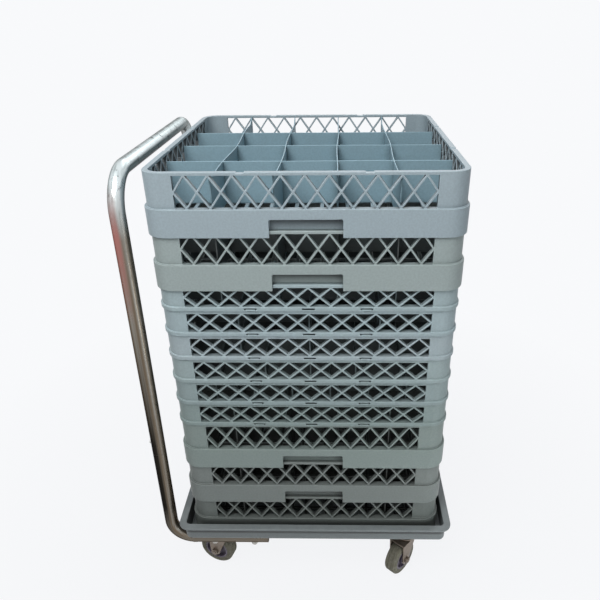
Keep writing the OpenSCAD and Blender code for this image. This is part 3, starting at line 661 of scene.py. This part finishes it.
def one_moulding(node, name, painted_share, holds=False):
    """A rack or extender in one piece: seams closed up, painted shade inside and on the sides of the
    lattice's gaps.
    """
    shape = cad_copy(node)
    low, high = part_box(node)
    middle = (low + high) / 2

    def on_seam(vert, axis):
        return abs(abs(vert.co[axis] - middle[axis]) - seam_from_middle) < seam_half

    def seam_face(face, axis):
        return abs(face.normal[axis]) > seam_normal and all(on_seam(vert, axis) for vert in face.verts)

    shape.normal_update()
    seams = [face for face in shape.faces if seam_face(face, 0) or seam_face(face, 1)]
    bmesh.ops.delete(shape, geom=seams, context="FACES")
    edge_verts = [v for v in shape.verts if on_seam(v, 0) or on_seam(v, 1)]
    bmesh.ops.remove_doubles(shape, verts=edge_verts, dist=seam_merge)
    if holds:
        round_holds(shape, middle, low.z + hold_top)
    piece = rounded_piece(shape, name, rack_round)
    painted_shade = piece.data.attributes.new("painted_shade", "FLOAT", "POINT").data
    # Painted shade inside the walls, and a painted shadow at the top of each hand hold.
    for vert in piece.data.vertices:
        if reach(vert.co - middle) < inside_half:
            painted_shade[vert.index].value = painted_share
        elif holds and in_hold(vert.co - middle, vert.co.z - low.z):
            painted_shade[vert.index].value = hold_shadow
    # Faces on the sides of the lattice's gaps get painted shade.
    foot = low.z + plain_foot[node.split("_")[0]]
    for face in piece.data.polygons:
        if not foot < face.center.z < high.z - plain_rim:
            continue
        for axis, gap_shade in enumerate(gap_shades):
            across = abs(face.center[axis] - middle[axis])
            beside = abs(face.center[1 - axis] - middle[1 - axis])
            in_wall = inside_half < across < outside_half and beside < seam_from_middle
            if in_wall and abs(face.normal[axis]) < gap_normal:
                for index in face.vertices:
                    painted_shade[index].value = max(painted_shade[index].value, gap_shade)
    return piece


for number, colour in rack_colours.items():
    # The open top rack gets almost no painted shade inside.
    painted_share = open_top_rack_shade if number == open_top_rack else inside_shade
    rack = one_moulding(f"rack_{number}", f"base_rack_{number}", painted_share, holds=True)
    rack.data.materials.append(moulded_plastic(f"rack_{number}_polypropylene", colour))
    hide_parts(f"rack_{number}")
    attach(rack, f"rack_{number}")

# The dividers: thin polypropylene strips slotted across each other, standing on the rack's floor grid.
# Hot washing has set a wave in the long strips, and their ends rise in ears against the walls.
strip_thick = 0.0018
column_waves, row_wave, wave_turns = (0.0038, 0.0022, 0.0016, 0.0024), 0.0008, 1.3
column_phase, row_phase = 1.9, 2.3
rim_angle, rim_round, top_normal = 1.2, 0.3, 0.85
strip_smooth = math.radians(30.0)
ear_up, ear_long = 0.011, 0.022
columns, rows = 5, 4
strip_steps = 48
# The dividers of the four lower racks are much darker than their racks: painted shade inside the stack.
divider_colours = {
    1: (0.076, 0.083, 0.076), 2: (0.089, 0.095, 0.089), 3: (0.102, 0.114, 0.108),
    4: (0.140, 0.159, 0.159), 5: (0.350, 0.520, 0.600)}


def strip(shape, length, low, high, spot, turn, wave, phase, ears):
    """One standing strip along its own X, bent in a wave that dies out at the ends, its upward faces marked
    for a painted highlight.
    """
    sheet = bmesh.new()
    wear_and_highlight = sheet.verts.layers.float.new("wear_and_highlight")
    made = bmesh.ops.create_grid(sheet, x_segments=strip_steps, y_segments=1, size=0.5)
    for vert in made["verts"]:
        share = vert.co.x + 0.5
        top = vert.co.y > 0
        from_end = min(share, 1 - share) * length
        rise = ear_up * max(0.0, 1 - from_end / ear_long) if top and ears else 0.0
        bend = wave * math.sin(math.pi * share) * math.sin(math.tau * share * wave_turns + phase)
        vert.co = (vert.co.x * length, bend, (high if top else low) + rise)
    bmesh.ops.translate(sheet, vec=(0, -strip_thick / 2, 0), verts=sheet.verts)
    bmesh.ops.solidify(sheet, geom=sheet.faces, thickness=strip_thick)
    bmesh.ops.recalc_face_normals(sheet, faces=sheet.faces)
    upper = [e for e in sheet.edges if min(v.co.z for v in e.verts) > (low + high) / 2]
    rims = [e for e in upper if e.calc_face_angle(0) > rim_angle]
    bmesh.ops.bevel(
        sheet, geom=rims, offset=strip_thick * rim_round, offset_type="OFFSET", segments=1,
        profile=0.5, affect="EDGES", clamp_overlap=False, material=-1)
    sheet.normal_update()
    # Upward faces get a painted highlight along the top edge.
    for face in sheet.faces:
        if face.normal.z > top_normal:
            for vert in face.verts:
                vert[wear_and_highlight] = 1.0
    bmesh.ops.transform(sheet, matrix=Matrix.Translation(spot) @ turn, verts=sheet.verts)
    data = bpy.data.meshes.new("one_strip")
    sheet.to_mesh(data)
    sheet.free()
    shape.from_mesh(data)
    bpy.data.meshes.remove(data)


quarter_turn = Matrix.Rotation(math.pi / 2, 4, "Z")
for number, colour in divider_colours.items():
    low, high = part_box(f"dividers_{number}")
    middle, size = (low + high) / 2, high - low
    shape = bmesh.new()
    shape.verts.layers.float.new("wear_and_highlight")
    for column in range(1, columns):
        spot = (middle.x + (column / columns - 0.5) * size.x, middle.y, 0)
        phase = column * column_phase + number
        strip(shape, size.y, low.z, high.z, spot, quarter_turn, column_waves[column - 1], phase, ears=True)
    for row in range(1, rows):
        spot = (middle.x, middle.y + (row / rows - 0.5) * size.y, 0)
        phase = row * row_phase + number
        strip(shape, size.x, low.z, high.z, spot, Matrix.Identity(4), row_wave, phase, ears=False)
    strips = meshed(shape, f"divider_strips_{number}", strip_smooth)
    strips.data.materials.append(moulded_plastic(f"divider_{number}_polypropylene", colour))
    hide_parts(f"dividers_{number}")
    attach(strips, f"rack_{number}")

# The extenders: six low polypropylene mouldings, a thin flared band, lattice walls and dividers in one piece.
# Each snaps on the rim below through the slots in its band, where two tongues a side stick out.
extender_colours = (
    (0.327, 0.410, 0.403), (0.369, 0.460, 0.468), (0.429, 0.530, 0.539),
    (0.500, 0.596, 0.629), (0.481, 0.596, 0.629), (0.481, 0.596, 0.622))
tongue_from_middle, tongue_size = 0.095, Vector((0.015, 0.0064, 0.0013))
tongue_low, tongue_in, tongue_round = 0.0021, 0.0006, 0.00026


def snap_tongues(name, low, high):
    """Two rounded tongues a side, set in the slots a little behind the band's face."""
    shape = bmesh.new()
    middle = (low + high) / 2
    out = (high.x - low.x) / 2 - tongue_in - tongue_size.y / 2
    centre = Matrix.Translation((middle.x, middle.y, low.z))
    cut_to_size = Matrix.Diagonal((*tongue_size, 1.0))
    for quarter in range(4):
        turn = centre @ Matrix.Rotation(quarter * math.pi / 2, 4, "Z")
        for side in (-1, 1):
            spot = Matrix.Translation((side * tongue_from_middle, out, tongue_low + tongue_size.z / 2))
            bmesh.ops.create_cube(shape, size=1.0, matrix=turn @ spot @ cut_to_size)
    return rounded_piece(shape, name, tongue_round)


for number, extender_colour in enumerate(extender_colours, 1):
    node = f"extender_{number}"
    # Its inside and the sides of its lattice's gaps get painted shade, as in the racks.
    extender = one_moulding(node, f"rack_extender_{number}", inside_shade)
    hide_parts(node)
    tongues = snap_tongues(f"extender_tongues_{number}", *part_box(node))
    plastic = moulded_plastic(f"extender_{number}_polypropylene", extender_colour)
    for piece in (extender, tongues):
        piece.data.materials.append(plastic)
        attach(piece, "rack_3")
